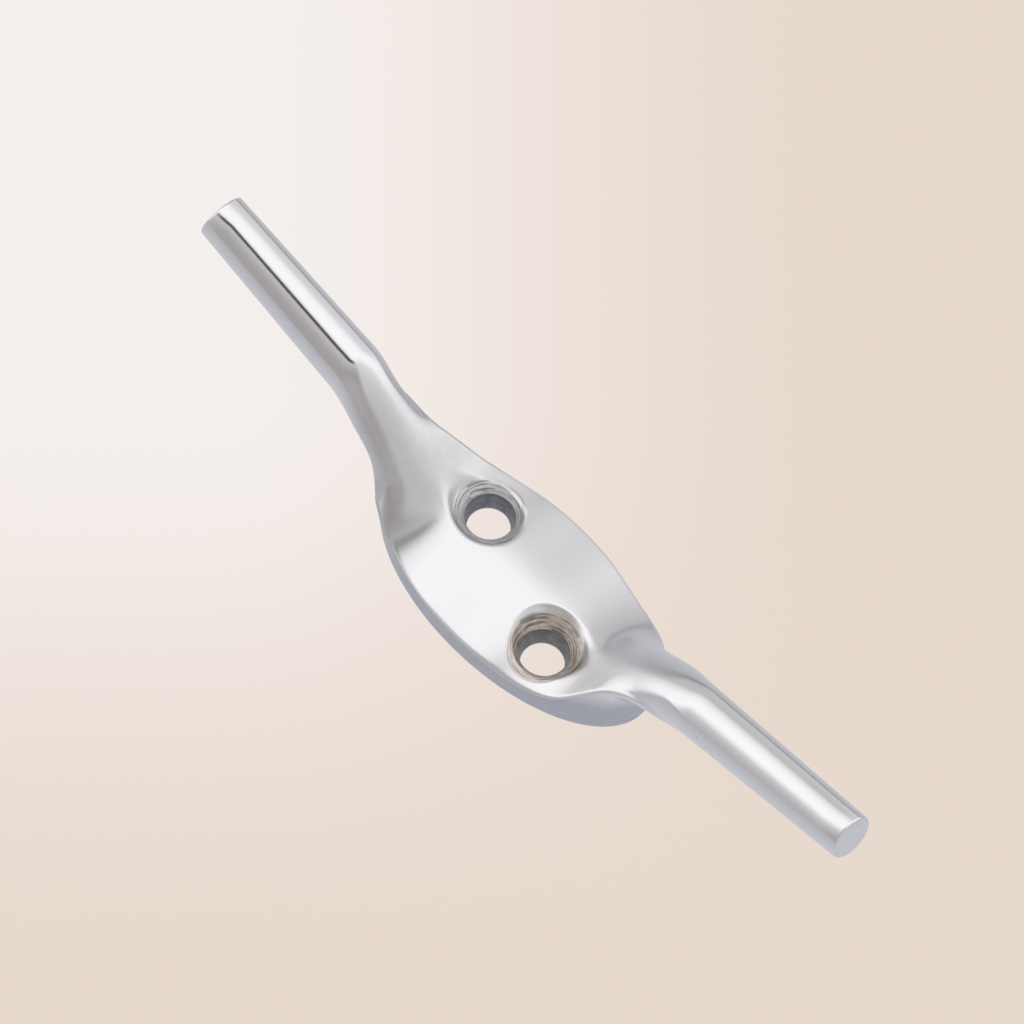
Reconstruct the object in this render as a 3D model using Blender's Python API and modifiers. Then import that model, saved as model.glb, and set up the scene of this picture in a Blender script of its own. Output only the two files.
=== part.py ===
"""Cord cleat: an oval foot with two rising horns, one solid plated casting.

Units are metres and +Z points away from the wall. The mounting face lies on
Z = 0, the origin is the middle of the foot, and +X runs along the horns.
"""

import math

import bmesh
import bpy
import numpy as np

MM = 0.001

# Foot: an oval plate with upright sides. Its top falls from a rounded crown
# along the middle to nearly flat flanks; CROWN_WIDTH is the crown's share.
FOOT_HALF_LENGTH = 19.75 * MM
FOOT_HALF_WIDTH = 9.85 * MM
FOOT_HEIGHT = 4.9 * MM
CROWN_WIDTH = 0.25
SHOULDER_RADIUS = 0.4 * MM

# Horns: straight tapered round bars. The key is the side they point to on X.
HORN_REACH = 50.0 * MM
HORN_TIP_HEIGHT = 17.65 * MM
HORN_RISE = math.radians(11.2)
HORN_ROOT_X = 28.0 * MM
HORN_TIP_RADIUS = {1: 2.66 * MM, -1: 2.9 * MM}
HORN_ROOT_RADIUS = {1: 3.05 * MM, -1: 3.3 * MM}
TIP_CHAMFER = 0.2 * MM

# Neck: section planes between the level part of the foot and the horn root.
# Each row gives the ridge point (x, z) and the underside point (x, z) of one
# plane, in mm. The underside runs along the mounting face to the end of the
# foot, climbs its end wall, and turns out below the horn.
LEVEL_ROWS = (0.0, 5.0, 10.0)
RIDGE_ROWS = ((12.0, 5.4), (14.0, 6.8), (15.9, 8.55), (17.8, 10.25), (20.0, 12.0), (23.4, 14.45))
FACE_ROWS = (14.0, 17.3)
UNDERSIDE_ROWS = ((19.8, 2.3), (20.5, 4.9), (24.1, 7.8))
NECK_HALF_WIDTH = (4.9, 4.6, 4.15, 3.7)
NECK_FLARE = 0.12
NECK_FILLET = 1.0 * MM
WALL_SPREAD = 0.75
NECK_ROUNDING = 1.0 * MM

# Per row from the middle of the foot to the horn root: how far up the section
# its shoulder sits, first on the plain flank, then on the flank by the hole,
# and how far the ridge leans away from the hole, in mm.
SHOULDER_SHARE = (
    (0.592, 0.592, 0.592, 0.65, 0.72, 0.76, 0.74, 0.70, 0.60, 0.5),
    (0.592, 0.592, 0.592, 0.67, 0.79, 0.88, 0.89, 0.86, 0.73, 0.5),
)
RIDGE_SKEW = (0.0, 0.0, 0.0, 0.3, 0.6, 0.7, 0.6, 0.3, 0.1, 0.0)

# Share of the foot's upright-sided section kept in each row, the rest round,
# for the same two flanks.
FOOT_SHARE = (
    (1.0, 1.0, 1.0, 0.95, 0.75, 0.5, 0.25, 0.08, 0.0, 0.0),
    (1.0, 1.0, 1.0, 1.0, 1.0, 0.97, 0.9, 0.75, 0.45, 0.0),
)

# Screw holes: tapered as cast and countersunk, on a diagonal of the foot.
HOLE_X = 8.12 * MM
HOLE_Y = -3.45 * MM
HOLE_SHIFT_Y = -0.25 * MM
HOLE_BACK_RADIUS = 2.45 * MM
HOLE_NECK_RADIUS = 2.78 * MM
HOLE_NECK_Z = 2.5 * MM
SINK_RADIUS = 4.05 * MM
SINK_Z = 4.1 * MM
HOLE_STEPS = 40

# Mesh resolution and shading.
SHARP_ANGLE = math.radians(35)
HOLE_MERGE = 0.05 * MM
CUTTER_MARGIN = 4 * MM
ROW_STEPS = (3, 3, 2, 2, 3, 2, 2, 3, 3)
WALL_POINTS = 4
SHOULDER_POINTS = 2
TOP_POINTS = 8

LEVEL_ROW = 2
END_ROW = 5
ROOT_ROW = 9
KNOT_TOLERANCE = 1e-9

# Rows past the end of the foot over which its upright wall fades into the neck.
WALL_FADE_ROWS = 2


def spline(knots, values, start_slope=None, end_slope=None):
    """Return a cubic spline through the values, natural where no slope is given."""
    knots = np.asarray(knots, float)
    values = np.asarray(values, float)
    count = len(knots)
    gap = np.diff(knots)
    rise = np.diff(values) / gap
    matrix = np.zeros((count, count))
    right = np.zeros(count)
    for i in range(1, count - 1):
        matrix[i, i - 1:i + 2] = gap[i - 1], 2 * (gap[i - 1] + gap[i]), gap[i]
        right[i] = 6 * (rise[i] - rise[i - 1])
    matrix[0, 0] = matrix[-1, -1] = 1
    if start_slope is not None:
        matrix[0, :2] = 2 * gap[0], gap[0]
        right[0] = 6 * (rise[0] - start_slope)
    if end_slope is not None:
        matrix[-1, -2:] = gap[-1], 2 * gap[-1]
        right[-1] = 6 * (end_slope - rise[-1])
    bend = np.linalg.solve(matrix, right)

    def value(t):
        i = int(np.clip(np.searchsorted(knots, t) - 1, 0, count - 2))
        a = (knots[i + 1] - t) / gap[i]
        b = 1 - a
        curve = ((a ** 3 - a) * bend[i] + (b ** 3 - b) * bend[i + 1]) * gap[i] ** 2 / 6
        return a * values[i] + b * values[i + 1] + curve

    return value


def foot_width(x):
    """Half width of the oval foot at a distance x from its middle."""
    share = min(abs(x) / FOOT_HALF_LENGTH, 1.0)
    return FOOT_HALF_WIDTH * math.sqrt(1 - share ** 2)


def crown_fall(share):
    """Share of the top's drop reached at a share of the half width."""
    edge = math.hypot(1, CROWN_WIDTH) - CROWN_WIDTH
    return (math.hypot(share, CROWN_WIDTH) - CROWN_WIDTH) / edge


def smooth_step(x):
    x = min(max(x, 0.0), 1.0)
    return x * x * (3 - 2 * x)


class HalfCleat:
    """Rails and sections of the half that points to +X; side picks the horn."""

    def __init__(self, side):
        along = np.array((math.cos(HORN_RISE), math.sin(HORN_RISE)))
        above = np.array((-along[1], along[0]))
        tip = np.array((HORN_REACH, HORN_TIP_HEIGHT))
        root = tip - along * (HORN_REACH - HORN_ROOT_X) / along[0]
        self.tip_radius = HORN_TIP_RADIUS[side]
        self.root_radius = HORN_ROOT_RADIUS[side]
        self.tip_points = (tip + above * self.tip_radius, tip - above * self.tip_radius)
        self.root_points = (root + above * self.root_radius, root - above * self.root_radius)

        ridge = [(x * MM, FOOT_HEIGHT) for x in LEVEL_ROWS]
        ridge += [(x * MM, z * MM) for x, z in RIDGE_ROWS]
        ridge = np.array(ridge + [tuple(self.root_points[0])])
        steps = np.hypot(*np.diff(ridge, axis=0).T)
        self.knots = np.concatenate(((0,), np.cumsum(steps)))
        self.end = self.knots[END_ROW]
        self.root = self.knots[ROOT_ROW]
        self.tip = self.root + (HORN_REACH - HORN_ROOT_X) / along[0]

        ridge_slope = (self.tip_points[0] - self.root_points[0]) / (self.tip - self.root)
        under_slope = (self.tip_points[1] - self.root_points[1]) / (self.tip - self.root)
        taper = (self.tip_radius - self.root_radius) / (self.tip - self.root)
        self.ridge_x = spline(self.knots, ridge[:, 0], None, ridge_slope[0])
        self.ridge_z = spline(self.knots, ridge[:, 1], 0.0, ridge_slope[1])

        face = np.array(LEVEL_ROWS + FACE_ROWS) * MM
        early = self.knots[:END_ROW + 1]
        self.face_x = spline(early, np.append(face, FOOT_HALF_LENGTH), None, 0.0)
        under = [(FOOT_HALF_LENGTH, 0)] + [(x * MM, z * MM) for x, z in UNDERSIDE_ROWS]
        under = np.array(under + [tuple(self.root_points[1])])
        late = self.knots[END_ROW:]
        self.under_x = spline(late, under[:, 0], 0.0, under_slope[0])
        self.under_z = spline(late, under[:, 1], None, under_slope[1])
        widths = np.append(np.array(NECK_HALF_WIDTH) * MM, self.root_radius)
        self.neck_width = spline(late, widths, None, taper)
        self.share = [spline(self.knots, row, 0.0, 0.0) for row in FOOT_SHARE]
        self.shoulder = [spline(self.knots, row, 0.0, 0.0) for row in SHOULDER_SHARE]
        self.flanks = (0, 1) if side > 0 else (1, 0)
        self.skew = spline(self.knots, np.array(RIDGE_SKEW) * side * MM, 0.0, 0.0)

    def rails(self, t):
        """Ridge point and underside point of the section plane at t."""
        if t > self.root:
            share = (t - self.root) / (self.tip - self.root)
            pairs = zip(self.root_points, self.tip_points)
            return [a + (b - a) * share for a, b in pairs]
        ridge = np.array((self.ridge_x(t), self.ridge_z(t)))
        if t <= self.end:
            return ridge, np.array((self.face_x(t), 0.0))
        return ridge, np.array((self.under_x(t), self.under_z(t)))

    def half_width(self, t, foot):
        """Half width at the shoulder, where the neck widens out of the foot."""
        if t > self.root:
            share = (t - self.root) / (self.tip - self.root)
            return self.root_radius + (self.tip_radius - self.root_radius) * share
        neck = self.neck_width(max(t, self.end)) + max(self.end - t, 0) * NECK_FLARE
        fillet = NECK_FILLET * smooth_step((self.root - t) / (self.root - self.end))
        merged = 0.5 * (foot + neck + math.hypot(foot - neck, fillet))
        level, next_row = self.knots[LEVEL_ROW:LEVEL_ROW + 2]
        return foot + (merged - foot) * smooth_step((t - level) / (next_row - level))

    def flank(self, t, kind):
        """(y, v) points up one flank; kind 0 is the plain flank, 1 the one by the hole."""
        ridge, under = self.rails(t)
        height = math.hypot(*(ridge - under))
        lean = (ridge[0] - under[0]) / height
        straight = t >= self.root
        side_height = height * (0.5 if straight else self.shoulder[kind](t))
        roof = height - side_height
        level = self.knots[LEVEL_ROW]
        rounding = NECK_ROUNDING * smooth_step((t - level) / (self.root - level))
        corner = SHOULDER_RADIUS + rounding
        foot = foot_width(under[0] + lean * side_height)
        width = self.half_width(t, foot)
        start = foot_width(under[0]) if t <= self.end + KNOT_TOLERANCE else 0.0
        gone = self.knots[END_ROW + WALL_FADE_ROWS]
        keep = 1 - smooth_step((t - self.end) / (gone - self.end))

        # Roofed outline: wall, rounded shoulder, then one slope up to the ridge.
        outline = []
        for i in range(WALL_POINTS + 1):
            v = (side_height - corner) * i / WALL_POINTS
            wall = keep * foot_width(under[0] + lean * v)
            wall += (width - keep * foot) * (v / side_height) ** WALL_SPREAD
            outline.append((wall, v))
        eave = width - corner
        eave_height = height - roof * crown_fall(eave / width)
        for i in range(1, SHOULDER_POINTS + 1):
            b = i / SHOULDER_POINTS
            a = 1 - b
            y = a * a * outline[WALL_POINTS][0] + 2 * a * b * width + b * b * eave
            v = a * a * outline[WALL_POINTS][1] + 2 * a * b * side_height + b * b * eave_height
            outline.append((y, v))
        for i in range(1, TOP_POINTS + 1):
            y = eave * (1 - i / TOP_POINTS)
            outline.append((y, height - roof * crown_fall(y / width)))

        # Blended with a round outline that has the same number of points.
        first = math.asin(min(start / width, 1.0))
        share = 0.0 if straight else min(max(self.share[kind](t), 0.0), 1.0)
        points = []
        for i, (y, v) in enumerate(outline):
            angle = first + (math.pi - first) * i / (len(outline) - 1)
            round_y = width * math.sin(angle)
            round_v = height * (math.cos(first) - math.cos(angle)) / (math.cos(first) + 1)
            points.append((share * y + (1 - share) * round_y, share * v + (1 - share) * round_v))
        return points

    def section(self, t):
        """Pairs of points, on the +Y and the -Y flank, from the underside to the ridge."""
        ridge, under = self.rails(t)
        height = math.hypot(*(ridge - under))
        up = (ridge - under) / height
        skew = self.skew(t) if t < self.root else 0.0
        pairs = []
        for points in zip(*(self.flank(t, kind) for kind in self.flanks)):
            pair = []
            for sign, (y, v) in zip((1, -1), points):
                shift = skew * (v / height) ** 2
                x, z = under + up * v
                pair.append((x, sign * max(y, 0.0) + shift, z))
            pairs.append(pair)
        return pairs

    def stations(self):
        """Sections from the middle of the foot to the chamfered horn tip."""
        values = [0.0]
        for row, steps in enumerate(ROW_STEPS):
            low, high = self.knots[row:row + 2]
            values += [low + (high - low) * (i + 1) / steps for i in range(steps)]
        values.append(self.tip - TIP_CHAMFER)
        sections = [self.section(t) for t in values]
        middle = np.array((HORN_REACH, 0.0, HORN_TIP_HEIGHT))
        last = np.array(self.section(self.tip))
        sections.append(middle + (last - middle) * (1 - TIP_CHAMFER / self.tip_radius))
        on_face = [t <= self.end + KNOT_TOLERANCE for t in values] + [False]
        return sections, on_face


def loft_cleat(mesh):
    """Join the sections of both halves into one closed surface."""
    plus, on_face = HalfCleat(1).stations()
    minus = HalfCleat(-1).stations()[0]
    sections = [np.array(s) * (-1, 1, 1) for s in reversed(minus[1:])]
    sections += [np.array(s) for s in plus]
    flat = list(reversed(on_face[1:])) + on_face
    end_row = sum(ROW_STEPS[:END_ROW])
    middle = len(minus) - 1

    bm = bmesh.new()
    rings = []
    for index, section in enumerate(sections):
        left = [bm.verts.new(pair[0]) for pair in section]
        open_below = flat[index] and abs(index - middle) != end_row
        first = bm.verts.new(section[0][1]) if open_below else left[0]
        right = [first] + [bm.verts.new(pair[1]) for pair in section[1:-1]]
        rings.append(left + list(reversed(right)))
    for a, b in zip(rings, rings[1:]):
        for i in range(len(a) - 1):
            bm.faces.new((a[i], a[i + 1], b[i + 1], b[i]))
    face_rings = [ring for ring, level in zip(rings, flat) if level]
    outline = [ring[0] for ring in face_rings]
    outline += [ring[-1] for ring in reversed(face_rings[1:-1])]
    bm.faces.new(outline)
    bm.faces.new(rings[0][:-1])
    bm.faces.new(rings[-1][:-1])
    bmesh.ops.recalc_face_normals(bm, faces=bm.faces)
    bm.to_mesh(mesh)
    bm.free()


def chrome_material():
    material = bpy.data.materials.new("polished_chrome")
    material.use_nodes = True
    shader = material.node_tree.nodes["Principled BSDF"]
    shader.inputs["Base Color"].default_value = (0.79, 0.79, 0.80, 1.0)
    shader.inputs["Metallic"].default_value = 1.0
    shader.inputs["Roughness"].default_value = 0.12
    return material


def hole_cutter(name, location, collection):
    """Turned cutter: tapered bore, countersink, and clearance above the foot."""
    cone = (SINK_RADIUS - HOLE_NECK_RADIUS) / (SINK_Z - HOLE_NECK_Z)
    top = FOOT_HEIGHT + CUTTER_MARGIN
    below = -CUTTER_MARGIN
    taper = (HOLE_NECK_RADIUS - HOLE_BACK_RADIUS) / HOLE_NECK_Z
    profile = [
        (0, 0, top),
        (SINK_RADIUS + cone * (top - SINK_Z), 0, top),
        (HOLE_NECK_RADIUS, 0, HOLE_NECK_Z),
        (HOLE_BACK_RADIUS + taper * below, 0, below),
        (0, 0, below),
    ]
    mesh = bpy.data.meshes.new(name)
    mesh.from_pydata(profile, [(i, i + 1) for i in range(len(profile) - 1)], [])
    cutter = bpy.data.objects.new(name, mesh)
    cutter.location = location
    cutter.hide_render = True
    cutter.display_type = "WIRE"
    turn = cutter.modifiers.new("Turn", "SCREW")
    turn.steps = HOLE_STEPS
    turn.render_steps = HOLE_STEPS
    turn.use_merge_vertices = True
    turn.merge_threshold = HOLE_MERGE
    collection.objects.link(cutter)
    return cutter


def main():
    for old in list(bpy.data.objects):
        bpy.data.objects.remove(old, do_unlink=True)
    parts = bpy.data.collections.new("cord_cleat")
    cutters = bpy.data.collections.new("cutters")
    bpy.context.scene.collection.children.link(parts)
    bpy.context.scene.collection.children.link(cutters)

    mesh = bpy.data.meshes.new("cleat_casting")
    loft_cleat(mesh)
    mesh.shade_smooth()
    mesh.set_sharp_from_angle(angle=SHARP_ANGLE)
    mesh.materials.append(chrome_material())
    casting = bpy.data.objects.new("cleat_casting", mesh)
    parts.objects.link(casting)

    for side in (-1, 1):
        name = "screw_hole_{}".format("minus" if side < 0 else "plus")
        cutter = hole_cutter(name, (side * HOLE_X, side * HOLE_Y + HOLE_SHIFT_Y, 0), cutters)
        cut = casting.modifiers.new(name, "BOOLEAN")
        cut.operation = "DIFFERENCE"
        cut.solver = "EXACT"
        cut.object = cutter


main()
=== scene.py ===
import math

import bmesh
import bpy
import numpy as np
from mathutils import Matrix, Vector
from mathutils.bvhtree import BVHTree


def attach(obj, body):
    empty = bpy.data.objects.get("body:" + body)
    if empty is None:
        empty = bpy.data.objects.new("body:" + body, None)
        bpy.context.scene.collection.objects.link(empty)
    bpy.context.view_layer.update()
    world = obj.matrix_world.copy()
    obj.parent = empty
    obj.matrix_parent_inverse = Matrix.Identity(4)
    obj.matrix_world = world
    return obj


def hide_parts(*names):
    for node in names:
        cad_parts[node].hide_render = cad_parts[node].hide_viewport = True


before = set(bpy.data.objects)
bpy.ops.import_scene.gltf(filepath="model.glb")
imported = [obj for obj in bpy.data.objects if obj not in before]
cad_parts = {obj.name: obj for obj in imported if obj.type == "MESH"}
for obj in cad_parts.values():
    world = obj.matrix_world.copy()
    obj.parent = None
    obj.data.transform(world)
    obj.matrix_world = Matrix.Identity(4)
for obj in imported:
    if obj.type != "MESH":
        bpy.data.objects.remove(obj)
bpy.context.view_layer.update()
MM = 0.001

# ---------------------------------------------------------------- dimensions
# The casting repeats the CAD node's driving dimensions, meshed much finer.

FOOT_HALF_LENGTH = 19.75 * MM
FOOT_HALF_WIDTH = 9.85 * MM
FOOT_HEIGHT = 4.9 * MM
CROWN_WIDTH = 0.25
SHOULDER_RADIUS = 0.4 * MM

HORN_REACH = 50.0 * MM
HORN_TIP_HEIGHT = 17.65 * MM
HORN_RISE = math.radians(11.2)
HORN_ROOT_X = 28.0 * MM
HORN_TIP_RADIUS = {1: 2.66 * MM, -1: 2.9 * MM}
HORN_ROOT_RADIUS = {1: 3.05 * MM, -1: 3.3 * MM}
TIP_ROUND = 0.25 * MM

LEVEL_ROWS = (0.0, 5.0, 10.0)
RIDGE_ROWS = ((12.0, 5.4), (14.0, 6.8), (15.9, 8.55), (17.8, 10.25), (20.0, 12.0), (23.4, 14.45))
FACE_ROWS = (14.0, 17.3)
UNDERSIDE_ROWS = ((19.8, 2.3), (20.5, 4.9), (24.1, 7.8))
NECK_HALF_WIDTH = (4.9, 4.6, 4.15, 3.7)
NECK_FLARE = 0.12
NECK_FILLET = 1.0 * MM
WALL_SPREAD = 0.75
NECK_ROUNDING = 1.0 * MM
SHOULDER_SHARE = (
    (0.592, 0.592, 0.592, 0.65, 0.72, 0.76, 0.74, 0.70, 0.60, 0.5),
    (0.592, 0.592, 0.592, 0.67, 0.79, 0.88, 0.89, 0.86, 0.73, 0.5),
)
RIDGE_SKEW = (0.0, 0.0, 0.0, 0.3, 0.6, 0.7, 0.6, 0.3, 0.1, 0.0)
FOOT_SHARE = (
    (1.0, 1.0, 1.0, 0.95, 0.75, 0.5, 0.25, 0.08, 0.0, 0.0),
    (1.0, 1.0, 1.0, 1.0, 1.0, 0.97, 0.9, 0.75, 0.45, 0.0),
)
LEVEL_ROW = 2
END_ROW = 5
ROOT_ROW = 9
KNOT_TOLERANCE = 1e-9

# Rows past the end of the foot over which its upright wall fades into the neck.
WALL_FADE_ROWS = 2

HOLE_CENTRES = [(side * 8.12 * MM, (side * -3.45 - 0.25) * MM) for side in (-1, 1)]
HOLE_BACK_RADIUS = 2.45 * MM
HOLE_NECK_RADIUS = 2.78 * MM
HOLE_NECK_Z = 2.5 * MM
SINK_RADIUS = 4.05 * MM
SINK_Z = 4.1 * MM
LIP_BLEND = 0.45 * MM

# The lip of a countersink: rings across it, passes that find its edge on the
# crowned top, how far it sinks below the top, and how steeply it leaves it.
LIP_STEPS = 24
LIP_PASSES = 12
LIP_SAG = 0.006 * MM
LIP_LEAVE_SLOPE = 0.08
LIP_START = 0.1 * MM
LIP_OUTSIDE = (0.1, 0.3, 0.6)
NECK_EDGE = 0.12 * MM
ABOVE_CASTING = 30 * MM
CUTTER_TOP = 12 * MM

ROW_STEPS = (14, 14, 10, 8, 12, 10, 10, 12, 12)
HORN_STEPS = 10
WALL_POINTS = 12
SHOULDER_POINTS = 6
TOP_POINTS = 28
HOLE_STEPS = 128
SHARP_ANGLE = math.radians(38)

# Camera: azimuth, elevation and roll in degrees, distance and shift in metres.
CAMERA_AZIMUTH = 40.3
CAMERA_ELEVATION = 61.4
CAMERA_ROLL = 8.0
CAMERA_DISTANCE = 0.6
CAMERA_ACROSS = -0.16 * MM
CAMERA_ABOVE = 9.31 * MM
CAMERA_LENS = 191.5
FLOOR_DROP = 0.12


# ------------------------------------------------------------------ geometry

def spline(knots, values, start_slope=None, end_slope=None):
    """Return a cubic spline through the values, natural where no slope is given."""
    knots = np.asarray(knots, float)
    values = np.asarray(values, float)
    count = len(knots)
    gap = np.diff(knots)
    rise = np.diff(values) / gap
    matrix = np.zeros((count, count))
    right = np.zeros(count)
    for i in range(1, count - 1):
        matrix[i, i - 1:i + 2] = gap[i - 1], 2 * (gap[i - 1] + gap[i]), gap[i]
        right[i] = 6 * (rise[i] - rise[i - 1])
    matrix[0, 0] = matrix[-1, -1] = 1
    if start_slope is not None:
        matrix[0, :2] = 2 * gap[0], gap[0]
        right[0] = 6 * (rise[0] - start_slope)
    if end_slope is not None:
        matrix[-1, -2:] = gap[-1], 2 * gap[-1]
        right[-1] = 6 * (end_slope - rise[-1])
    bend = np.linalg.solve(matrix, right)

    def value(t):
        i = int(np.clip(np.searchsorted(knots, t) - 1, 0, count - 2))
        a = (knots[i + 1] - t) / gap[i]
        b = 1 - a
        curve = ((a ** 3 - a) * bend[i] + (b ** 3 - b) * bend[i + 1]) * gap[i] ** 2 / 6
        return a * values[i] + b * values[i + 1] + curve

    return value


def foot_width(x):
    """Half width of the oval foot at a distance x from its middle."""
    share = min(abs(x) / FOOT_HALF_LENGTH, 1.0)
    return FOOT_HALF_WIDTH * math.sqrt(1 - share ** 2)


def crown_fall(share):
    """Share of the top's drop reached at a share of the half width."""
    edge = math.hypot(1, CROWN_WIDTH) - CROWN_WIDTH
    return (math.hypot(share, CROWN_WIDTH) - CROWN_WIDTH) / edge


def smooth_step(x):
    x = min(max(x, 0.0), 1.0)
    return x * x * (3 - 2 * x)


class HalfCleat:
    """Rails and sections of the half that points to +X; side picks the horn."""

    def __init__(self, side):
        along = np.array((math.cos(HORN_RISE), math.sin(HORN_RISE)))
        above = np.array((-along[1], along[0]))
        tip = np.array((HORN_REACH, HORN_TIP_HEIGHT))
        root = tip - along * (HORN_REACH - HORN_ROOT_X) / along[0]
        self.tip_radius = HORN_TIP_RADIUS[side]
        self.root_radius = HORN_ROOT_RADIUS[side]
        self.tip_points = (tip + above * self.tip_radius, tip - above * self.tip_radius)
        self.root_points = (root + above * self.root_radius, root - above * self.root_radius)

        ridge = [(x * MM, FOOT_HEIGHT) for x in LEVEL_ROWS]
        ridge += [(x * MM, z * MM) for x, z in RIDGE_ROWS]
        ridge = np.array(ridge + [tuple(self.root_points[0])])
        steps = np.hypot(*np.diff(ridge, axis=0).T)
        self.knots = np.concatenate(((0,), np.cumsum(steps)))
        self.end = self.knots[END_ROW]
        self.root = self.knots[ROOT_ROW]
        self.tip = self.root + (HORN_REACH - HORN_ROOT_X) / along[0]

        ridge_slope = (self.tip_points[0] - self.root_points[0]) / (self.tip - self.root)
        under_slope = (self.tip_points[1] - self.root_points[1]) / (self.tip - self.root)
        taper = (self.tip_radius - self.root_radius) / (self.tip - self.root)
        self.ridge_x = spline(self.knots, ridge[:, 0], None, ridge_slope[0])
        self.ridge_z = spline(self.knots, ridge[:, 1], 0.0, ridge_slope[1])

        face = np.array(LEVEL_ROWS + FACE_ROWS) * MM
        early = self.knots[:END_ROW + 1]
        self.face_x = spline(early, np.append(face, FOOT_HALF_LENGTH), None, 0.0)
        under = [(FOOT_HALF_LENGTH, 0)] + [(x * MM, z * MM) for x, z in UNDERSIDE_ROWS]
        under = np.array(under + [tuple(self.root_points[1])])
        late = self.knots[END_ROW:]
        self.under_x = spline(late, under[:, 0], 0.0, under_slope[0])
        self.under_z = spline(late, under[:, 1], None, under_slope[1])
        widths = np.append(np.array(NECK_HALF_WIDTH) * MM, self.root_radius)
        self.neck_width = spline(late, widths, None, taper)
        self.share = [spline(self.knots, row, 0.0, 0.0) for row in FOOT_SHARE]
        self.shoulder = [spline(self.knots, row, 0.0, 0.0) for row in SHOULDER_SHARE]
        self.flanks = (0, 1) if side > 0 else (1, 0)
        self.skew = spline(self.knots, np.array(RIDGE_SKEW) * side * MM, 0.0, 0.0)

    def rails(self, t):
        """Ridge point and underside point of the section plane at t."""
        if t > self.root:
            share = (t - self.root) / (self.tip - self.root)
            pairs = zip(self.root_points, self.tip_points)
            return [a + (b - a) * share for a, b in pairs]
        ridge = np.array((self.ridge_x(t), self.ridge_z(t)))
        if t <= self.end:
            return ridge, np.array((self.face_x(t), 0.0))
        return ridge, np.array((self.under_x(t), self.under_z(t)))

    def half_width(self, t, foot):
        """Half width at the shoulder, where the neck widens out of the foot."""
        if t > self.root:
            share = (t - self.root) / (self.tip - self.root)
            return self.root_radius + (self.tip_radius - self.root_radius) * share
        neck = self.neck_width(max(t, self.end)) + max(self.end - t, 0) * NECK_FLARE
        fillet = NECK_FILLET * smooth_step((self.root - t) / (self.root - self.end))
        merged = 0.5 * (foot + neck + math.hypot(foot - neck, fillet))
        level, next_row = self.knots[LEVEL_ROW:LEVEL_ROW + 2]
        return foot + (merged - foot) * smooth_step((t - level) / (next_row - level))

    def flank(self, t, kind):
        """(y, v) points up one flank; kind 0 is the plain flank, 1 the one by the hole."""
        ridge, under = self.rails(t)
        height = math.hypot(*(ridge - under))
        lean = (ridge[0] - under[0]) / height
        straight = t >= self.root
        side_height = height * (0.5 if straight else self.shoulder[kind](t))
        roof = height - side_height
        level = self.knots[LEVEL_ROW]
        rounding = NECK_ROUNDING * smooth_step((t - level) / (self.root - level))
        corner = SHOULDER_RADIUS + rounding
        foot = foot_width(under[0] + lean * side_height)
        width = self.half_width(t, foot)
        start = foot_width(under[0]) if t <= self.end + KNOT_TOLERANCE else 0.0
        gone = self.knots[END_ROW + WALL_FADE_ROWS]
        keep = 1 - smooth_step((t - self.end) / (gone - self.end))

        # Roofed outline: wall, rounded shoulder, then one slope up to the ridge.
        outline = []
        for i in range(WALL_POINTS + 1):
            v = (side_height - corner) * i / WALL_POINTS
            wall = keep * foot_width(under[0] + lean * v)
            wall += (width - keep * foot) * (v / side_height) ** WALL_SPREAD
            outline.append((wall, v))
        eave = width - corner
        eave_height = height - roof * crown_fall(eave / width)
        for i in range(1, SHOULDER_POINTS + 1):
            b = i / SHOULDER_POINTS
            a = 1 - b
            y = a * a * outline[WALL_POINTS][0] + 2 * a * b * width + b * b * eave
            v = a * a * outline[WALL_POINTS][1] + 2 * a * b * side_height + b * b * eave_height
            outline.append((y, v))
        for i in range(1, TOP_POINTS + 1):
            y = eave * (1 - i / TOP_POINTS)
            outline.append((y, height - roof * crown_fall(y / width)))

        # Blended with a round outline that has the same number of points.
        first = math.asin(min(start / width, 1.0))
        share = 0.0 if straight else min(max(self.share[kind](t), 0.0), 1.0)
        points = []
        for i, (y, v) in enumerate(outline):
            angle = first + (math.pi - first) * i / (len(outline) - 1)
            round_y = width * math.sin(angle)
            round_v = height * (math.cos(first) - math.cos(angle)) / (math.cos(first) + 1)
            points.append((share * y + (1 - share) * round_y, share * v + (1 - share) * round_v))
        return points

    def section(self, t):
        """Pairs of points, on the +Y and the -Y flank, from the underside to the ridge."""
        ridge, under = self.rails(t)
        height = math.hypot(*(ridge - under))
        up = (ridge - under) / height
        skew = self.skew(t) if t < self.root else 0.0
        pairs = []
        for points in zip(*(self.flank(t, kind) for kind in self.flanks)):
            pair = []
            for sign, (y, v) in zip((1, -1), points):
                shift = skew * (v / height) ** 2
                x, z = under + up * v
                pair.append((x, sign * max(y, 0.0) + shift, z))
            pairs.append(pair)
        return pairs

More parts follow.
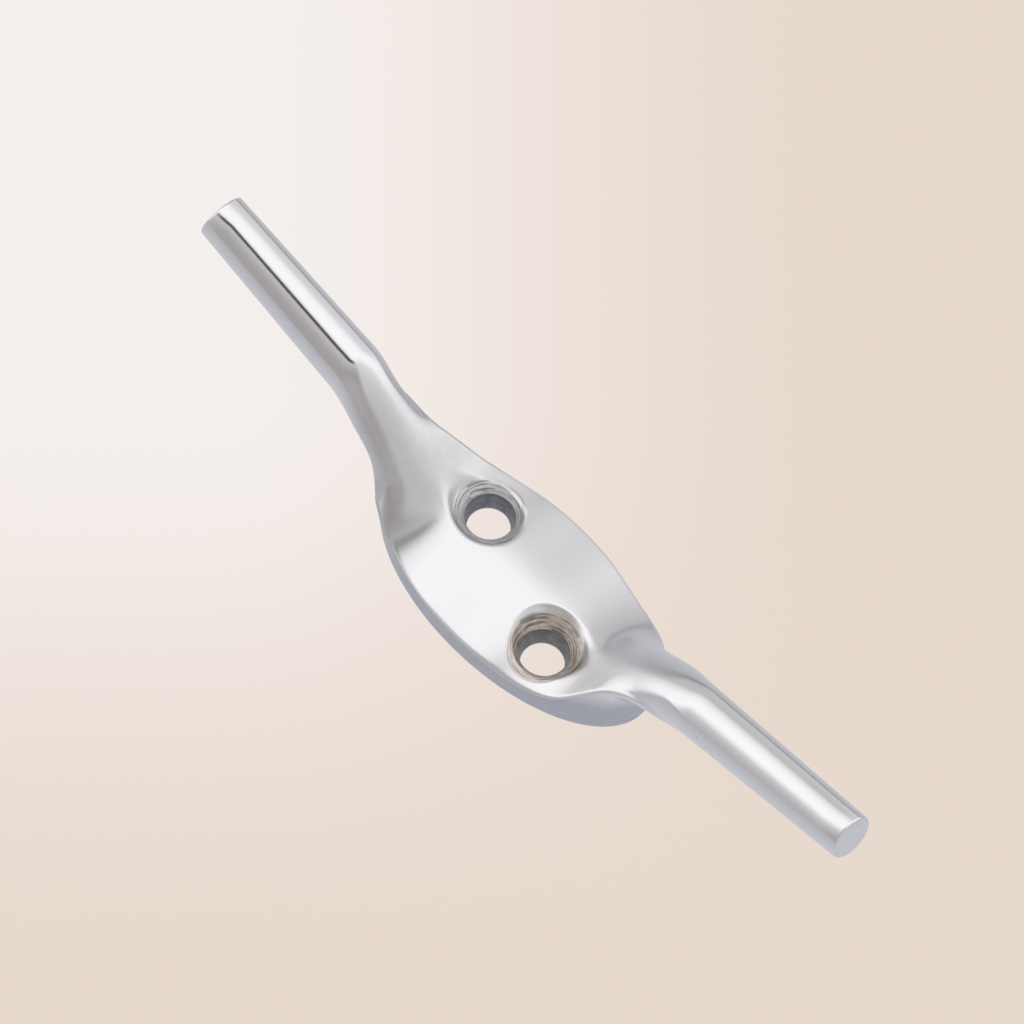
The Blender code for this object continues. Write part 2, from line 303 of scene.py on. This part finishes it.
    def stations(self):
        """Sections from the middle of the foot to the rounded horn tip."""
        values = [0.0]
        for row, steps in enumerate(ROW_STEPS):
            low, high = self.knots[row:row + 2]
            values += [low + (high - low) * (i + 1) / steps for i in range(steps)]
        straight = self.tip - TIP_ROUND - self.root
        values += [self.root + straight * (i + 1) / HORN_STEPS for i in range(HORN_STEPS)]
        sections = [self.section(t) for t in values]
        middle = np.array((HORN_REACH, 0.0, HORN_TIP_HEIGHT))
        out = np.array((math.cos(HORN_RISE), 0.0, math.sin(HORN_RISE)))
        rim = np.array(self.section(self.tip)) - middle
        for angle in np.radians((18, 36, 54, 72, 90)):
            back = TIP_ROUND * (1 - math.sin(angle))
            inset = TIP_ROUND * (1 - math.cos(angle)) / self.tip_radius
            sections.append(middle - out * back + rim * (1 - inset))
        for share in (0.8, 0.55, 0.3):
            sections.append(middle + rim * share * (1 - TIP_ROUND / self.tip_radius))
        on_face = [t <= self.end + KNOT_TOLERANCE for t in values]
        return sections, on_face + [False] * (len(sections) - len(values))


def loft_casting():
    """The uncut casting as a bmesh: both halves' sections in one closed surface."""
    plus, on_face = HalfCleat(1).stations()
    minus = HalfCleat(-1).stations()[0]
    sections = [np.array(s) * (-1, 1, 1) for s in reversed(minus[1:])]
    sections += [np.array(s) for s in plus]
    flat = list(reversed(on_face[1:])) + on_face
    end_row = sum(ROW_STEPS[:END_ROW])
    middle = len(minus) - 1

    bm = bmesh.new()
    rings = []
    for index, section in enumerate(sections):
        left = [bm.verts.new(pair[0]) for pair in section]
        open_below = flat[index] and abs(index - middle) != end_row
        first = bm.verts.new(section[0][1]) if open_below else left[0]
        right = [first] + [bm.verts.new(pair[1]) for pair in section[1:-1]]
        rings.append(left + list(reversed(right)))
    for a, b in zip(rings, rings[1:]):
        for i in range(len(a) - 1):
            bm.faces.new((a[i], a[i + 1], b[i + 1], b[i]))
    face_rings = [ring for ring, level in zip(rings, flat) if level]
    outline = [ring[0] for ring in face_rings]
    outline += [ring[-1] for ring in reversed(face_rings[1:-1])]
    bm.faces.new(outline)
    bm.faces.new(rings[0][:-1])
    bm.faces.new(rings[-1][:-1])
    bmesh.ops.recalc_face_normals(bm, faces=bm.faces)
    return bm


def smooth_min(a, b, blend):
    """The smaller of a and b, rounded over where they are about equal."""
    share = min(max(0.5 + 0.5 * (b - a) / blend, 0.0), 1.0)
    return b + (a - b) * share - blend * share * (1 - share)


def hole_cutter(name, centre, tree):
    """Closed cutter: tapered bore, countersink, and a lip that melts into the top.

    The lip follows the crowned top round the hole, so each ring is unlike the next.
    """
    cone = (SINK_Z - HOLE_NECK_Z) / (SINK_RADIUS - HOLE_NECK_RADIUS)
    taper = (HOLE_NECK_RADIUS - HOLE_BACK_RADIUS) / HOLE_NECK_Z
    rings = []
    for z in (-1.0, 0.0, 0.5, 1.0, 1.5, 2.0, 2.3):
        rings.append([(HOLE_BACK_RADIUS + taper * z * MM, z * MM)] * HOLE_STEPS)
    for share in (0.15, 0.5, 0.85):
        lift = NECK_EDGE * (share - 0.5)
        bulge = NECK_EDGE * 0.3 * (0.25 - (share - 0.5) ** 2)
        radius = HOLE_NECK_RADIUS + max(lift, 0) / cone + bulge
        rings.append([(radius, HOLE_NECK_Z + lift)] * HOLE_STEPS)

    def top(angle, radius):
        x = centre[0] + radius * math.cos(angle)
        y = centre[1] + radius * math.sin(angle)
        return tree.ray_cast(Vector((x, y, ABOVE_CASTING)), Vector((0, 0, -1)))[0].z

    angles = [2 * math.pi * i / HOLE_STEPS for i in range(HOLE_STEPS)]
    ends = []
    for angle in angles:
        radius = SINK_RADIUS
        for _ in range(LIP_PASSES):
            radius = HOLE_NECK_RADIUS + (top(angle, radius) + LIP_BLEND - HOLE_NECK_Z) / cone
        ends.append(radius)
    start = HOLE_NECK_RADIUS + LIP_START
    for i in range(1, LIP_STEPS + 1):
        share = i / LIP_STEPS
        ring = []
        for angle, end in zip(angles, ends):
            radius = start + (end - start) * share
            surface = top(angle, radius)
            sink = HOLE_NECK_Z + (radius - HOLE_NECK_RADIUS) * cone
            ring.append((radius, smooth_min(sink, surface, LIP_BLEND) - LIP_SAG * share))
        rings.append(ring)
    for step in LIP_OUTSIDE:
        out = step * MM
        rings.append([(end + out, top(angle, end + out) - LIP_SAG + LIP_LEAVE_SLOPE * step * MM)
                      for angle, end in zip(angles, ends)])
    rings.append([(end + LIP_OUTSIDE[-1] * MM, CUTTER_TOP) for end in ends])

    bm = bmesh.new()
    loops = []
    for ring in rings:
        loops.append([bm.verts.new((centre[0] + r * math.cos(a), centre[1] + r * math.sin(a), z))
                      for (r, z), a in zip(ring, angles)])
    for low, high in zip(loops, loops[1:]):
        for i in range(HOLE_STEPS):
            j = (i + 1) % HOLE_STEPS
            bm.faces.new((low[i], low[j], high[j], high[i]))
    bm.faces.new(list(reversed(loops[0])))
    bm.faces.new(loops[-1])
    bmesh.ops.recalc_face_normals(bm, faces=bm.faces)
    mesh = bpy.data.meshes.new(name)
    bm.to_mesh(mesh)
    bm.free()
    cutter = bpy.data.objects.new(name, mesh)
    bpy.context.scene.collection.objects.link(cutter)
    return cutter


def build_casting():
    """The finished casting with its two countersunk holes cut."""
    bm = loft_casting()
    tree = BVHTree.FromBMesh(bm)
    mesh = bpy.data.meshes.new("casting_blank")
    bm.to_mesh(mesh)
    bm.free()
    blank = bpy.data.objects.new("casting_blank", mesh)
    bpy.context.scene.collection.objects.link(blank)
    cutters = []
    for index, centre in enumerate(HOLE_CENTRES):
        cutter = hole_cutter("hole_cutter_{}".format(index), centre, tree)
        cut = blank.modifiers.new(cutter.name, "BOOLEAN")
        cut.operation = "DIFFERENCE"
        cut.solver = "EXACT"
        cut.object = cutter
        cutters.append(cutter)
    graph = bpy.context.evaluated_depsgraph_get()
    result = bpy.data.meshes.new_from_object(blank.evaluated_get(graph))
    for helper in cutters + [blank]:
        bpy.data.objects.remove(helper, do_unlink=True)
    result.name = "casting"
    result.shade_smooth()
    result.set_sharp_from_angle(angle=SHARP_ANGLE)
    casting = bpy.data.objects.new("casting", result)
    bpy.context.scene.collection.objects.link(casting)
    return casting


# ----------------------------------------------------------------- materials

class Nodes:
    """Small helper that adds and wires shader nodes."""

    def __init__(self, tree):
        self.tree = tree

    def add(self, kind, **settings):
        node = self.tree.nodes.new(kind)
        for key, value in settings.items():
            setattr(node, key, value)
        return node

    def put(self, socket, value):
        if isinstance(value, bpy.types.NodeSocket):
            self.tree.links.new(value, socket)
        elif value is not None:
            socket.default_value = value

    def math(self, operation, a, b=None, c=None):
        node = self.add("ShaderNodeMath", operation=operation)
        for socket, value in zip(node.inputs, (a, b, c)):
            self.put(socket, value)
        return node.outputs[0]

    def dot(self, a, b):
        node = self.add("ShaderNodeVectorMath", operation="DOT_PRODUCT")
        self.put(node.inputs[0], a)
        self.put(node.inputs[1], b)
        return node.outputs["Value"]

    def step(self, value, low, high):
        """0 at low, 1 at high, smooth between."""
        node = self.add("ShaderNodeMapRange", interpolation_type="SMOOTHSTEP")
        self.put(node.inputs["Value"], value)
        node.inputs["From Min"].default_value = low
        node.inputs["From Max"].default_value = high
        return node.outputs["Result"]

    def mix(self, factor, a, b):
        node = self.add("ShaderNodeMix", data_type="RGBA")
        for socket, value in zip((node.inputs[0], node.inputs[6], node.inputs[7]), (factor, a, b)):
            self.put(socket, value)
        return node.outputs[2]

    def blend(self, factor, a, b):
        node = self.add("ShaderNodeMix", data_type="FLOAT")
        for socket, value in zip((node.inputs[0], node.inputs[2], node.inputs[3]), (factor, a, b)):
            self.put(socket, value)
        return node.outputs[0]

    def noise(self, vector, scale, detail=2.0, roughness=0.5):
        node = self.add("ShaderNodeTexNoise")
        self.put(node.inputs["Vector"], vector)
        node.inputs["Scale"].default_value = scale
        node.inputs["Detail"].default_value = detail
        node.inputs["Roughness"].default_value = roughness
        return node.outputs["Fac"]

    def ramp(self, value, stops):
        node = self.add("ShaderNodeValToRGB")
        points = node.color_ramp.elements
        while len(points) < len(stops):
            points.new(0.5)
        for point, (position, colour) in zip(points, stops):
            point.position = position
            point.color = colour if len(colour) == 4 else tuple(colour) + (1.0,)
        self.put(node.inputs["Fac"], value)
        return node.outputs["Color"]

    def bump(self, height, distance, strength, normal=None):
        node = self.add("ShaderNodeBump")
        self.put(node.inputs["Height"], height)
        node.inputs["Distance"].default_value = distance
        node.inputs["Strength"].default_value = strength
        self.put(node.inputs["Normal"], normal)
        return node.outputs["Normal"]


# Where the finish, painted shade and painted reflection change, as the two ends of a
# blend: distances from a hole's axis, heights above the back, and distances along the casting.
BORE_EDGE = (2.80 * MM, 2.92 * MM)
RIM_EDGE = (3.9 * MM, 4.35 * MM)
BACK_EDGE = (0.05 * MM, 0.2 * MM)
WALL_SHADE_FADE = (3.5 * MM, 8.5 * MM)
DULL_AND_REFLECTION_START = (9.0 * MM, 14.0 * MM)
DULL_AND_REFLECTION_END = (21.0 * MM, 27.0 * MM)
HORN_POLISH = (19.0 * MM, 27.0 * MM)


def grey(level):
    return (level, level, level, 1.0)


def plus_all(nodes, *values):
    """Sum of several shader values."""
    total = values[0]
    for value in values[1:]:
        total = nodes.math("ADD", total, value)
    return total


def chrome_material():
    """Chrome plate over a cast body: soft polish, turned countersinks, a stain and pits; painted shade
    low on the walls and a partly painted reflection on one neck.
    """
    material = bpy.data.materials.new("polished_chrome")
    material.use_nodes = True
    nodes = Nodes(material.node_tree)
    shader = material.node_tree.nodes["Principled BSDF"]
    shader.inputs["Metallic"].default_value = 1.0
    place = nodes.add("ShaderNodeTexCoord").outputs["Object"]
    split = nodes.add("ShaderNodeSeparateXYZ")
    nodes.put(split.inputs[0], place)
    x, y, z = split.outputs
    facing = nodes.add("ShaderNodeSeparateXYZ")
    nodes.put(facing.inputs[0], nodes.add("ShaderNodeNewGeometry").outputs["Normal"])
    upright = nodes.math("SUBTRACT", 1.0, nodes.step(facing.outputs["Z"], 0.15, 0.45))

    # Distance and bearing from the nearer screw hole.
    radii = []
    bearings = []
    for centre in HOLE_CENTRES:
        across = nodes.math("SUBTRACT", x, centre[0])
        along = nodes.math("SUBTRACT", y, centre[1])
        squares = nodes.math("ADD", nodes.math("MULTIPLY", across, across),
                             nodes.math("MULTIPLY", along, along))
        radii.append(nodes.math("SQRT", squares))
        bearings.append(nodes.math("ARCTAN2", along, across))
    right_half = nodes.math("GREATER_THAN", x, 0.0)
    radius = nodes.math("MINIMUM", *radii)
    bearing = nodes.blend(right_half, *bearings)
    above_back = nodes.step(z, *BACK_EDGE)
    outside_bore = nodes.step(radius, *BORE_EDGE)
    bore = nodes.math("MULTIPLY", nodes.math("SUBTRACT", 1.0, outside_bore), above_back)
    inside_rim = nodes.math("SUBTRACT", 1.0, nodes.step(radius, *RIM_EDGE))
    sink = nodes.math("MULTIPLY", nodes.math("MULTIPLY", outside_bore, inside_rim), above_back)

    # Turning marks: noise that is long round the hole and fine across it.
    turning = nodes.add("ShaderNodeCombineXYZ")
    nodes.put(turning.inputs[0], nodes.math("MULTIPLY", radius, 8200.0))
    nodes.put(turning.inputs[1], nodes.math("MULTIPLY", bearing, 0.9))
    nodes.put(turning.inputs[2], right_half)
    rings = nodes.noise(turning.outputs[0], 1.0, 3.0, 0.7)
    patches = nodes.noise(place, 900.0, 3.0, 0.6)

    # Plate colour, with a greyer neck on the -X side, partly duller plate and partly painted reflection,
    # and painted shade making the side wall darker and bluer low on the foot.
    clouds = nodes.noise(place, 90.0, 3.0, 0.55)
    colour = nodes.mix(clouds, (0.80, 0.80, 0.81, 1), (0.86, 0.86, 0.87, 1))
    # Partly duller plate, partly painted reflection: the -X neck is painted greyer.
    left = nodes.math("MULTIPLY", x, -1.0)
    dull_and_reflection = nodes.math("MULTIPLY", nodes.step(left, *DULL_AND_REFLECTION_START),
                      nodes.math("SUBTRACT", 1.0, nodes.step(left, *DULL_AND_REFLECTION_END)))
    dull_and_reflection_tint = nodes.mix(patches, (0.60, 0.60, 0.605, 1), (0.70, 0.70, 0.70, 1))
    colour = nodes.mix(nodes.math("MULTIPLY", dull_and_reflection, 0.8), colour, dull_and_reflection_tint)
    # Painted shade: the low upright walls are painted darker and bluer, standing in for the shaded floor
    # reflected there.
    low = nodes.math("SUBTRACT", 1.0, nodes.step(z, *WALL_SHADE_FADE))
    wall = nodes.math("MULTIPLY", upright, nodes.math("MULTIPLY", low, outside_bore))
    wall_shade_tint = nodes.mix(patches, (0.46, 0.475, 0.51, 1), (0.60, 0.615, 0.65, 1))
    colour = nodes.mix(wall, colour, wall_shade_tint)

    # Countersinks: worn plate streaked with darker metal; one is stained brown.
    streak = nodes.step(rings, 0.40, 0.54)
    clean = nodes.mix(streak, (0.38, 0.36, 0.35, 1), (0.97, 0.96, 0.96, 1))
    stained = nodes.mix(streak, (0.30, 0.25, 0.20, 1), (0.80, 0.72, 0.65, 1))
    rust = nodes.math("MULTIPLY", right_half, nodes.step(patches, 0.25, 0.55))
    sink_colour = nodes.mix(rust, clean, stained)
    colour = nodes.mix(sink, colour, sink_colour)
    bore_colour = nodes.mix(right_half, (0.20, 0.205, 0.225, 1), (0.21, 0.20, 0.18, 1))
    bore_colour = nodes.mix(nodes.step(patches, 0.3, 0.7), bore_colour, (0.30, 0.30, 0.31, 1))
    colour = nodes.mix(bore, colour, bore_colour)

    # Fine casting pits show through the plate on the upright walls.
    specks = nodes.step(nodes.noise(place, 1500.0, 1.0, 0.5), 0.70, 0.78)
    pits = nodes.math("MULTIPLY", specks, upright)
    colour = nodes.mix(nodes.math("MULTIPLY", pits, 0.35), colour, (0.30, 0.31, 0.34, 1))
    nodes.put(shader.inputs["Base Color"], colour)

    # The horns are polished brighter than the foot and the necks.
    on_horn = nodes.step(nodes.math("ABSOLUTE", x, 0.0), *HORN_POLISH)
    rough = nodes.math("MULTIPLY_ADD", clouds, 0.06, 0.20)
    rough = nodes.math("SUBTRACT", rough, nodes.math("MULTIPLY", on_horn, 0.125))
    rough = plus_all(nodes, rough, nodes.math("MULTIPLY", sink, 0.22), nodes.math("MULTIPLY", bore, 0.25),
                     nodes.math("MULTIPLY", wall, 0.12))
    nodes.put(shader.inputs["Roughness"], rough)

    wave = nodes.bump(nodes.noise(place, 150.0, 1.0, 0.4), 0.02 * MM, 0.6)
    fine = nodes.bump(nodes.noise(place, 2600.0, 3.0, 0.6), 0.0022 * MM, 0.8, wave)
    turned = nodes.bump(nodes.math("MULTIPLY", rings, sink), 0.06 * MM, 0.9, fine)
    pitted = nodes.bump(nodes.math("SUBTRACT", 1.0, pits), 0.01 * MM, 0.5, turned)
    nodes.put(shader.inputs["Normal"], pitted)
    return material


# -------------------------------------------------------------------- studio

def image_axes():
    """Unit vectors of the camera: right, up and back towards the camera."""
    azimuth, elevation, roll = map(math.radians, (CAMERA_AZIMUTH, CAMERA_ELEVATION, CAMERA_ROLL))
    back = Vector((math.sin(azimuth) * math.cos(elevation),
                   -math.cos(azimuth) * math.cos(elevation), math.sin(elevation)))
    level = Vector((math.cos(azimuth), math.sin(azimuth), 0))
    upright = back.cross(level)
    right = math.cos(roll) * level + math.sin(roll) * upright
    up = -math.sin(roll) * level + math.cos(roll) * upright
    return right, up, back


def add_camera():
    right, up, back = image_axes()
    data = bpy.data.cameras.new("camera")
    data.lens = CAMERA_LENS
    data.sensor_width = 36.0
    data.clip_start = 0.01
    data.clip_end = 50.0
    camera = bpy.data.objects.new("camera", data)
    offset = right * CAMERA_ACROSS + up * CAMERA_ABOVE - Vector((0, 0.5 * MM, 0))
    place = Matrix((right, up, back)).transposed().to_4x4()
    place.translation = offset + back * CAMERA_DISTANCE
    camera.matrix_world = place
    bpy.context.scene.collection.objects.link(camera)
    bpy.context.scene.camera = camera


def add_world():
    """Soft studio seen in the chrome: a wide overhead light with grey round it.

    ahead runs level, away from the camera side; across runs level to its right.
    """
    world = bpy.data.worlds.new("studio")
    bpy.context.scene.world = world
    world.use_nodes = True
    nodes = Nodes(world.node_tree)
    sky = world.node_tree.nodes["Background"]
    azimuth = math.radians(CAMERA_AZIMUTH)
    ray = nodes.add("ShaderNodeTexCoord").outputs["Generated"]
    ahead = nodes.dot(ray, (-math.sin(azimuth), math.cos(azimuth), 0))
    across = nodes.dot(ray, (math.cos(azimuth), math.sin(azimuth), 0))
    height = nodes.dot(ray, (0, 0, 1))

    def at(level):
        return (level + 1) / 2

    upper = nodes.ramp(nodes.math("MULTIPLY_ADD", ahead, 0.5, 0.5), [
        (at(-1.0), (0.48, 0.46, 0.45)),
        (at(-0.66), (0.36, 0.34, 0.335)),
        (at(-0.50), (0.42, 0.40, 0.40)),
        (at(-0.36), (0.52, 0.50, 0.50)),
        (at(-0.24), (0.60, 0.58, 0.58)),
        (at(-0.02), (0.93, 0.93, 0.95)),
        (at(0.10), (1.0, 1.0, 1.0)),
        (at(0.44), (0.95, 0.94, 0.96)),
        (at(0.66), (0.78, 0.76, 0.77)),
        (at(0.78), (0.54, 0.53, 0.53)),
        (at(0.93), (0.52, 0.51, 0.52)),
        (at(1.0), (0.46, 0.45, 0.46)),
    ])
    gap = nodes.math("MULTIPLY", nodes.step(ahead, -0.30, -0.22),
                     nodes.math("SUBTRACT", 1.0, nodes.step(ahead, -0.16, -0.08)))
    gap = nodes.math("MULTIPLY", gap, nodes.step(across, -0.6, -0.4))
    gap = nodes.math("MULTIPLY", gap, nodes.math("SUBTRACT", 1.0, nodes.step(across, -0.06, 0.12)))
    upper = nodes.mix(gap, upper, grey(0.05))
    open_side = nodes.ramp(nodes.math("MULTIPLY_ADD", ahead, 0.5, 0.5), [
        (at(-1.0), (0.60, 0.60, 0.61)),
        (at(-0.45), (0.62, 0.62, 0.63)),
        (at(-0.05), (0.74, 0.74, 0.76)),
        (at(0.25), (1.0, 1.0, 1.0)),
        (at(0.50), (0.93, 0.93, 0.95)),
        (at(0.70), (0.70, 0.69, 0.70)),
        (at(1.0), (0.58, 0.57, 0.58)),
    ])
    upper = nodes.mix(nodes.step(across, 0.05, 0.35), upper, open_side)
    lower = nodes.ramp(nodes.math("MULTIPLY", height, -1.0), [
        (0.0, (0.44, 0.43, 0.45)),
        (0.35, (0.49, 0.49, 0.53)),
        (1.0, (0.56, 0.56, 0.60)),
    ])
    light = nodes.mix(nodes.step(height, -0.03, 0.03), lower, upper)
    horizon = nodes.math("MULTIPLY", nodes.step(height, -0.10, -0.02),
                         nodes.math("SUBTRACT", 1.0, nodes.step(height, 0.05, 0.12)))
    horizon = nodes.math("MULTIPLY", horizon, nodes.step(ahead, 0.6, 0.9))
    light = nodes.mix(nodes.math("MULTIPLY", horizon, 0.6), light, grey(0.2))
    nodes.put(sky.inputs["Color"], light)
    sky.inputs["Strength"].default_value = 1.15


def floor_material():
    """Pale glowing floor with a painted pool of light: near white on one side, fading to warm beige
    across and behind.
    """
    material = bpy.data.materials.new("pale_floor")
    material.use_nodes = True
    nodes = Nodes(material.node_tree)
    shader = material.node_tree.nodes["Principled BSDF"]
    output = material.node_tree.nodes["Material Output"]
    material.node_tree.nodes.remove(shader)
    glow = nodes.add("ShaderNodeEmission")
    place = nodes.add("ShaderNodeTexCoord").outputs["Object"]
    right, up = image_axes()[:2]
    across = nodes.dot(place, tuple(right))
    above = nodes.dot(place, tuple(up))
    # Painted light: the glowing floor is near white in a pool on one side and fades to warm beige across
    # and behind.
    stay_x = nodes.math("SUBTRACT", 1.0, nodes.step(across, -0.035, 0.052))
    stay_y = nodes.step(above, 0.008, 0.085)
    light_falloff = nodes.math("SUBTRACT", 1.0, nodes.math("MULTIPLY", stay_x, stay_y))
    floor_and_light_colour = nodes.ramp(light_falloff, [
        (0.0, (0.913, 0.868, 0.847)),
        (0.5, (0.863, 0.780, 0.730)),
        (1.0, (0.799, 0.694, 0.617)),
    ])
    nodes.put(glow.inputs["Color"], floor_and_light_colour)
    material.node_tree.links.new(glow.outputs[0], output.inputs["Surface"])
    return material


def add_floor():
    """A wide pale bowl of a floor, well below the part, that fills every view."""
    mesh = bpy.data.meshes.new("floor")
    reach = 4.0
    curve = 1.5
    profile = [(0.0, 0.0), (reach, 0.0)]
    profile += [(reach + curve * math.sin(a), curve * (1 - math.cos(a)))
                for a in np.radians((15, 30, 45, 60, 75, 90))]
    profile.append((reach + curve, 6.0))
    count = 64
    bm = bmesh.new()
    middle = bm.verts.new((0, 0, 0))
    rings = []
    for r, z in profile[1:]:
        rings.append([bm.verts.new((r * math.cos(a), r * math.sin(a), z))
                      for a in np.linspace(0, 2 * math.pi, count, endpoint=False)])
    for i in range(count):
        j = (i + 1) % count
        bm.faces.new((middle, rings[0][i], rings[0][j]))
        for low, high in zip(rings, rings[1:]):
            bm.faces.new((low[i], high[i], high[j], low[j]))
    bm.to_mesh(mesh)
    bm.free()
    mesh.shade_smooth()
    floor = bpy.data.objects.new("floor", mesh)
    floor.location.z = -FLOOR_DROP
    floor.visible_glossy = False
    floor.visible_diffuse = False
    floor.visible_shadow = False
    mesh.materials.append(floor_material())
    bpy.context.scene.collection.objects.link(floor)


# --------------------------------------------------------------------- scene

casting = build_casting()
casting.data.materials.clear()
casting.data.materials.append(chrome_material())
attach(casting, "root")
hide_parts("cleat_casting")

add_floor()
add_world()
add_camera()
bpy.context.scene.view_settings.view_transform = "Standard"
